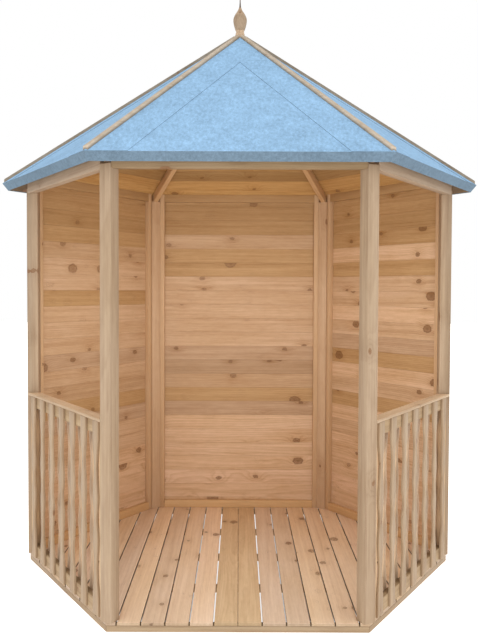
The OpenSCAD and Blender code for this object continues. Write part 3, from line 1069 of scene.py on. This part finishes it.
class GAZEBO_OT_pickets(bpy.types.Operator):
    """Two rows of wavy pickets on each balustrade"""

    bl_idname = "gazebo.pickets"
    bl_label = "Pickets"
    bl_options = {"REGISTER", "UNDO"}

    def execute(self, context):
        sizes = context.scene.gazebo_sizes
        # Width along a picket's height: wide ends, three waists and two bulges, joined by cosine curves
        keys = [
            (0.00, sizes.picket_w), (0.09, sizes.picket_w), (0.23, sizes.waist_w), (0.40, sizes.bulge_w),
            (0.50, sizes.waist_w), (0.60, sizes.bulge_w), (0.77, sizes.waist_w), (0.91, sizes.picket_w),
            (1.00, sizes.picket_w),
        ]
        steps = 6
        height = PICKET_TOP - PICKET_FOOT
        picket = block((0, -sizes.picket_w / 2, PICKET_FOOT),
                       (sizes.picket_t, sizes.picket_w / 2, PICKET_TOP))
        rings = []
        for (z0, w0), (z1, w1) in zip(keys, keys[1:]):
            for step in range(steps) if w0 != w1 else (0,):
                t = step / steps
                width = w0 + (w1 - w0) * (1 - math.cos(math.pi * t)) / 2
                rings.append((PICKET_FOOT + height * (z0 + (z1 - z0) * t), width))
        with editing(picket):
            for z, _ in rings[1:]:
                bpy.ops.mesh.select_all(action="SELECT")
                bpy.ops.mesh.bisect(plane_co=(0, 0, z), plane_no=(0, 0, 1))
            for z, width in rings[1:]:
                select_edges(picket, lambda edge: all(abs(v.co.z - z) < 1e-5 for v in edge.verts))
                bpy.ops.transform.resize(value=(1, width / sizes.picket_w, 1), center_override=(0, 0, z))
        soften(picket, 0.0016, 2)
        row_w = 2 * half_bay(FLOOR_A) - 2 * sizes.picket_margin
        pitch = (row_w - sizes.picket_w) / (sizes.picket_count - 1)
        # The inner row is painted much paler than the outer one: painted light in the shade behind the outer
        # row
        rows = (("outer", FLOOR_A, 0.6), ("inner", FRAME_IN_A - sizes.picket_t, 2.2))
        for row, depth, tone in rows:
            mark_timber(picket, (0, 0, 1), (1, 0, 0), tone, 0.35)
            for name, side in FLANKS.items():
                pickets = []
                for i in range(sizes.picket_count):
                    y = (i - (sizes.picket_count - 1) / 2) * pitch
                    pickets.append(shift(copy_of(picket), (depth, y, 0)))
                hand_over(turn(join(pickets), SIDES[side]), f"picket_row_{row}_{name}",
                          [material("trim_wood")], [f"{row}_pickets_{name}"])
        bpy.data.objects.remove(picket)
        return {"FINISHED"}


# ---- Roof ----

class GAZEBO_OT_roof_lining(bpy.types.Operator):
    """Boards under the felt, level along each face, with an edge batten at the eaves"""

    bl_idname = "gazebo.roof_lining"
    bl_label = "Roof boards"
    bl_options = {"REGISTER", "UNDO"}

    def execute(self, context):
        sizes = context.scene.gazebo_sizes
        rng = random.Random(5)
        slope_length = EAVES_A / math.cos(FACE_SLOPE)
        boards = []
        up = sizes.felt_t
        groove = 0.0015
        while up < slope_length:
            head = up + sizes.board_pitch
            outline = [
                roof_point(up, sizes.felt_t + FIT_GAP), roof_point(up, ROOF_T - groove),
                roof_point(up + groove, ROOF_T), roof_point(head - groove, ROOF_T),
                roof_point(head, ROOF_T - groove), roof_point(head, sizes.felt_t + FIT_GAP),
            ]
            board = cut_to_hips(profile_bar(outline, -EAVES_R, EAVES_R))
            if board.data.vertices:
                # The edge batten is in the shade, and the boards just inside the walls catch the light
                tone = rng.uniform(0.0, 0.35) + (-1.2 if up < SOFFIT / 2 else 0.4 if up < 2 * SOFFIT else 0)
                mark_timber(board, (0, 1, 0), -ROOF_UP, tone, rng.uniform(0.4, 1.0))
                boards.append(board)
            up = head
        lining = join(boards)
        for side, angle in SIDES.items():
            twin = turn(copy_of(lining), angle)
            hand_over(twin, f"roof_lining_{side}", [material("roof_wood")],
                      [f"roof_panel_{side}"])
        bpy.data.objects.remove(lining)
        return {"FINISHED"}


class GAZEBO_OT_felt(bpy.types.Operator):
    """Felt on the six faces, folded down at the eaves, with a strip along each hip"""

    bl_idname = "gazebo.felt"
    bl_label = "Felt"
    bl_options = {"REGISTER", "UNDO"}

    def execute(self, context):
        sizes = context.scene.gazebo_sizes
        slope_length = EAVES_A / math.cos(FACE_SLOPE) + OVER
        sheet_t = sizes.felt_t / 2
        outline = [
            roof_point(0, sheet_t), roof_point(slope_length, sheet_t), roof_point(slope_length, sizes.felt_t),
            roof_point(sizes.felt_t, sizes.felt_t), roof_point(sizes.felt_t, ROOF_T), roof_point(0, ROOF_T),
        ]
        sheet = cut_to_hips(profile_bar(outline, -EAVES_R, EAVES_R), 0)
        strip_foot = 0.001
        strip_outline = [
            roof_point(strip_foot, 0), roof_point(slope_length, 0),
            roof_point(slope_length, sheet_t), roof_point(strip_foot, sheet_t),
        ]
        parts = [sheet]
        for hand in (-1, 1):
            strip = cut_to_hips(profile_bar(strip_outline, -EAVES_R, EAVES_R), 0)
            # The strip keeps what lies within its width of this hip, measured on the face
            down_hip = Vector((COS_30 * EAVES_R, hand * EAVES_R / 2, EAVES_Z - APEX_Z)).normalized()
            inward = ROOF_UP.cross(down_hip) * -hand
            cut(strip, Vector((0, 0, APEX_Z)) + inward * sizes.hip_strip_w, inward)
            cut(strip, (0, 0, 0), (0, -hand, 0))
            parts.append(strip)
        felt = join(parts)
        for name in ("mineral_felt", "felt_fold"):
            felt.data.materials.append(material(name))
        # The faces that look out or down are the fold at the eaves, and take the darker fold felt as painted
        # shade
        for face in felt.data.polygons:
            face.material_index = int(face.normal.z < 0.3)
        for side, angle in SIDES.items():
            hand_over(turn(plain_copy(felt), angle), f"felt_sheet_{side}", [], [f"felt_{side}"])
        bpy.data.objects.remove(felt)
        return {"FINISHED"}


class GAZEBO_OT_rafters(bpy.types.Operator):
    """Six hip rafters that meet at the apex block"""

    bl_idname = "gazebo.rafters"
    bl_label = "Hip rafters"
    bl_options = {"REGISTER", "UNDO"}

    def execute(self, context):
        sizes = context.scene.gazebo_sizes
        r_in = BLOCK_A + FIT_GAP
        r_out = POST_OUT_R - POST_W / 4
        outline = [
            (r_in, rafter_z(r_in)), (r_out, rafter_z(r_out)), (r_out, hip_z(r_out)), (r_in, hip_z(r_in)),
        ]
        rafter = profile_bar(outline, -sizes.rafter_w / 2, sizes.rafter_w / 2)
        for hand in (-1, 1):
            cut(rafter, (0, 0, APEX_Z - ROOF_DROP - FIT_GAP), face_up_by_hip(hand))
        soften(rafter, sizes.arris, 2, lambda edge: edge.calc_face_angle() > math.radians(60))
        slope = Vector((math.cos(HIP_SLOPE), 0, -math.sin(HIP_SLOPE)))
        mark_timber(rafter, slope, (0, 1, 0), 0.6, 0.8)
        twins = [turn(copy_of(rafter), angle) for angle in CORNERS.values()]
        bpy.data.objects.remove(rafter)
        hand_over(join(twins), "rafter_set", [material("frame_wood")], ["hip_rafters"])
        return {"FINISHED"}


class GAZEBO_OT_apex_block(bpy.types.Operator):
    """The six-sided block that the hip rafters meet at"""

    bl_idname = "gazebo.apex_block"
    bl_label = "Apex block"
    bl_options = {"REGISTER", "UNDO"}

    def execute(self, context):
        lining_apex = APEX_Z - ROOF_DROP
        radius = BLOCK_A / COS_30
        bpy.ops.object.select_all(action="DESELECT")
        bpy.ops.mesh.primitive_cylinder_add(vertices=6, radius=radius, depth=lining_apex - BLOCK_FOOT,
                                            location=(0, 0, (lining_apex + BLOCK_FOOT) / 2))
        piece = bpy.context.object
        apply_place(piece)
        for angle in SIDES.values():
            cut(piece, (0, 0, lining_apex - FIT_GAP), outwards(angle, ROOF_UP.x, ROOF_UP.z))
        soften(piece, 0.004, 2)
        mark_timber(piece, (0, 0, 1), (1, 0, 0), 0.5, 0.6)
        hand_over(piece, "apex_boss", [material("frame_wood")], ["apex_block"])
        return {"FINISHED"}


class GAZEBO_OT_battens(bpy.types.Operator):
    """Battens that hold the felt down along the hips"""

    bl_idname = "gazebo.battens"
    bl_label = "Hip battens"
    bl_options = {"REGISTER", "UNDO"}

    def execute(self, context):
        sizes = context.scene.gazebo_sizes
        # The battens start beside the finial and stop a little short of the eaves
        r_in, r_out = 0.028, EAVES_R - 0.012
        play = 0.0002
        rise = sizes.batten_t / math.cos(HIP_SLOPE)
        outline = [
            (r_in, hip_z(r_in) - sizes.batten_w), (r_out, hip_z(r_out) - sizes.batten_w),
            (r_out, hip_z(r_out) + rise), (r_in, hip_z(r_in) + rise),
        ]
        batten = profile_bar(outline, -sizes.batten_w / 2, sizes.batten_w / 2)
        soften(batten, 0.004, 3, lambda edge: min(v.co.z - hip_z(v.co.x) for v in edge.verts) > 0)
        halves = []
        for hand in (-1, 1):
            # Each half of the batten is cut to lie on its own face of the roof
            half = cut(plain_copy(batten), (0, 0, 0), (0, -hand, 0))
            halves.append(cut(half, (0, 0, APEX_Z + play), -face_up_by_hip(hand)))
        bpy.data.objects.remove(batten)
        whole = join(halves)
        with editing(whole):
            bpy.ops.mesh.remove_doubles(threshold=WELD)
            # The two halves share a wall along the hip, which goes
            bpy.ops.mesh.select_all(action="DESELECT")
            mesh = bmesh.from_edit_mesh(whole.data)
            for face in mesh.faces:
                face.select_set(all(abs(v.co.y) < WELD for v in face.verts))
            bmesh.update_edit_mesh(whole.data)
            bpy.ops.mesh.delete(type="ONLY_FACE")
        slope = Vector((math.cos(HIP_SLOPE), 0, -math.sin(HIP_SLOPE)))
        mark_timber(whole, slope, (0, 0, 1), 1.6, 0.2)
        # Painted light and shade: pale on top, and dark on the sides where they meet the felt
        write_attribute(whole, "tone", "FLOAT", [
            1.7 if v.co.z > hip_z(v.co.x) + 0.002 else -0.4 for v in whole.data.vertices])
        twins = []
        for corner, angle in CORNERS.items():
            twin = turn(copy_of(whole), angle)
            if corner.startswith("mid"):
                # These two are seen from the side, and are painted one even middling brightness instead of
                # the painted light on top and painted shade on the sides
                write_attribute(twin, "tone", "FLOAT", [0.2] * len(twin.data.vertices))
            twins.append(twin)
        bpy.data.objects.remove(whole)
        hand_over(join(twins), "batten_set", [material("batten_wood")], ["hip_battens"])
        return {"FINISHED"}


class GAZEBO_OT_finial(bpy.types.Operator):
    """The turned finial on the apex"""

    bl_idname = "gazebo.finial"
    bl_label = "Finial"
    bl_options = {"REGISTER", "UNDO"}

    def execute(self, context):
        foot = FINIAL_FOOT - APEX_Z
        tip = FINIAL_TOP - APEX_Z
        bulb_r = FINIAL_R - 0.0002
        # Radius and height above the apex: a base, a collar, an onion bulb, a cone and a spike
        turned = [
            (0.0, foot), (0.0225, foot), (0.0225, 0.004), (0.022, 0.008), (0.0205, 0.011), (0.0185, 0.013),
            (0.0185, 0.0145), (0.0200, 0.016), (0.0205, 0.018), (0.0200, 0.020), (0.0195, 0.0215),
            (0.0225, 0.024), (0.0243, 0.029), (0.0265, 0.036), (0.0290, 0.045), (0.0315, 0.055),
            (0.0330, 0.064), (bulb_r, 0.070), (bulb_r, 0.076), (0.0326, 0.081), (0.0308, 0.087),
            (0.0284, 0.093), (0.0255, 0.099), (0.0221, 0.105), (0.0186, 0.110), (0.0152, 0.115),
            (0.0120, 0.120), (0.0090, 0.126), (0.0065, 0.132), (0.0047, 0.138), (0.0035, 0.146),
            (0.0028, 0.157), (0.0022, 0.172), (0.0018, tip - 0.004), (0.0, tip),
        ]
        piece = drawn_line([(radius, APEX_Z + height) for radius, height in turned])
        with editing(piece):
            bpy.ops.mesh.spin(steps=48, angle=math.tau, center=(0, 0, 0), axis=(0, 0, 1))
            bpy.ops.mesh.select_all(action="SELECT")
            bpy.ops.mesh.remove_doubles(threshold=WELD)
            bpy.ops.mesh.normals_make_consistent(inside=False)
        mark_timber(piece, (0, 0, 1), (1, 0, 0), 0.2, 0.1)
        # Brightness of the base, the bulb, the cone and the spike, up to each height
        shades = [(0.0215, 1.4), (0.095, 0.5), (0.135, 1.0), (1.0, -0.9)]
        write_attribute(piece, "tone", "FLOAT", [
            next(tone for height, tone in shades if v.co.z - APEX_Z < height) for v in piece.data.vertices])
        hand_over(piece, "turned_finial", [material("trim_wood")], ["finial"])
        return {"FINISHED"}


# ---- Stage ----

def soft_light(name, place, target, size, power):
    """A square soft light that faces a point."""
    bpy.ops.object.light_add(type="AREA", location=place)
    light = bpy.context.object
    light.name = name
    light.data.size = size
    light.data.energy = power
    light.rotation_euler = (Vector(target) - light.location).to_track_quat("-Z", "Y").to_euler()
    return light


class GAZEBO_OT_stage(bpy.types.Operator):
    """The studio: a pale floor, soft light from all around, and the camera"""

    bl_idname = "gazebo.stage"
    bl_label = "Studio and camera"
    bl_options = {"REGISTER", "UNDO"}

    def execute(self, context):
        scene = context.scene
        view = scene.gazebo_view
        bpy.ops.object.select_all(action="DESELECT")
        bpy.ops.mesh.primitive_plane_add(size=60, location=(0, 0, 0))
        floor = bpy.context.object
        floor.name = "studio_floor"
        floor.data.materials.append(studio_floor(scene.gazebo_colours.ground))

        world = bpy.data.worlds.new("studio")
        world.use_nodes = True
        background = world.node_tree.nodes["Background"]
        background.inputs["Color"].default_value = (1.0, 1.0, 1.0, 1.0)
        background.inputs["Strength"].default_value = view.ambient
        scene.world = world

        # A large light in front at head height, and a small one inside that only lightens the walls
        soft_light("key_light", (0.25, -6.5, 2.0), (0, 0, 1.2), 4.0, view.key_power)
        fill = soft_light("fill_light", (0, -0.3, 1.5), (0, 0.7, 0.1), 0.9, view.fill_power)
        fill.visible_camera = False

        bpy.ops.object.camera_add(location=(0, -view.distance, view.eye_height))
        camera = bpy.context.object
        camera.name = "camera"
        level = Matrix.Rotation(math.radians(90) - view.pitch, 3, "X")
        camera.rotation_euler = (level @ Matrix.Rotation(view.roll, 3, "Z")).to_euler()
        camera.data.lens = view.lens
        camera.data.sensor_fit = "VERTICAL"
        camera.data.sensor_height = 36
        camera.data.dof.use_dof = False
        scene.camera = camera
        scene.view_settings.view_transform = "Standard"
        return {"FINISHED"}


OPERATORS = (
    GAZEBO_OT_stage, GAZEBO_OT_sill, GAZEBO_OT_joists, GAZEBO_OT_deck, GAZEBO_OT_posts,
    GAZEBO_OT_wall_frames, GAZEBO_OT_wall_boards, GAZEBO_OT_headers, GAZEBO_OT_balustrades,
    GAZEBO_OT_pickets, GAZEBO_OT_roof_lining, GAZEBO_OT_felt, GAZEBO_OT_rafters, GAZEBO_OT_apex_block,
    GAZEBO_OT_battens, GAZEBO_OT_finial,
)


class GAZEBO_PT_panel(bpy.types.Panel):
    """Lists the gazebo's pieces, sizes and colours"""

    bl_idname = "GAZEBO_PT_panel"
    bl_label = "Garden gazebo"
    bl_space_type = "VIEW_3D"
    bl_region_type = "UI"
    bl_category = "Gazebo"

    def draw(self, context):
        column = self.layout.column(align=True)
        for operator in OPERATORS:
            column.operator(operator.bl_idname)
        for group in (context.scene.gazebo_sizes, context.scene.gazebo_colours, context.scene.gazebo_view):
            box = self.layout.box()
            for name in group.bl_rna.properties.keys():
                if name not in ("rna_type", "name"):
                    box.prop(group, name)


CLASSES = (GazeboSizes, GazeboColours, GazeboView, *OPERATORS, GAZEBO_PT_panel)


def register():
    for cls in CLASSES:
        bpy.utils.register_class(cls)
    bpy.types.Scene.gazebo_sizes = PointerProperty(type=GazeboSizes)
    bpy.types.Scene.gazebo_colours = PointerProperty(type=GazeboColours)
    bpy.types.Scene.gazebo_view = PointerProperty(type=GazeboView)


def unregister():
    del bpy.types.Scene.gazebo_view
    del bpy.types.Scene.gazebo_colours
    del bpy.types.Scene.gazebo_sizes
    for cls in reversed(CLASSES):
        bpy.utils.unregister_class(cls)


def main():
    """Builds the whole gazebo."""
    register()
    bpy.ops.gazebo.stage()
    bpy.ops.gazebo.sill()
    bpy.ops.gazebo.joists()
    bpy.ops.gazebo.deck()
    bpy.ops.gazebo.posts()
    bpy.ops.gazebo.wall_frames()
    bpy.ops.gazebo.wall_boards()
    bpy.ops.gazebo.headers()
    bpy.ops.gazebo.balustrades()
    bpy.ops.gazebo.pickets()
    bpy.ops.gazebo.roof_lining()
    bpy.ops.gazebo.felt()
    bpy.ops.gazebo.rafters()
    bpy.ops.gazebo.apex_block()
    bpy.ops.gazebo.battens()
    bpy.ops.gazebo.finial()


if __name__ == "__main__":
    main()
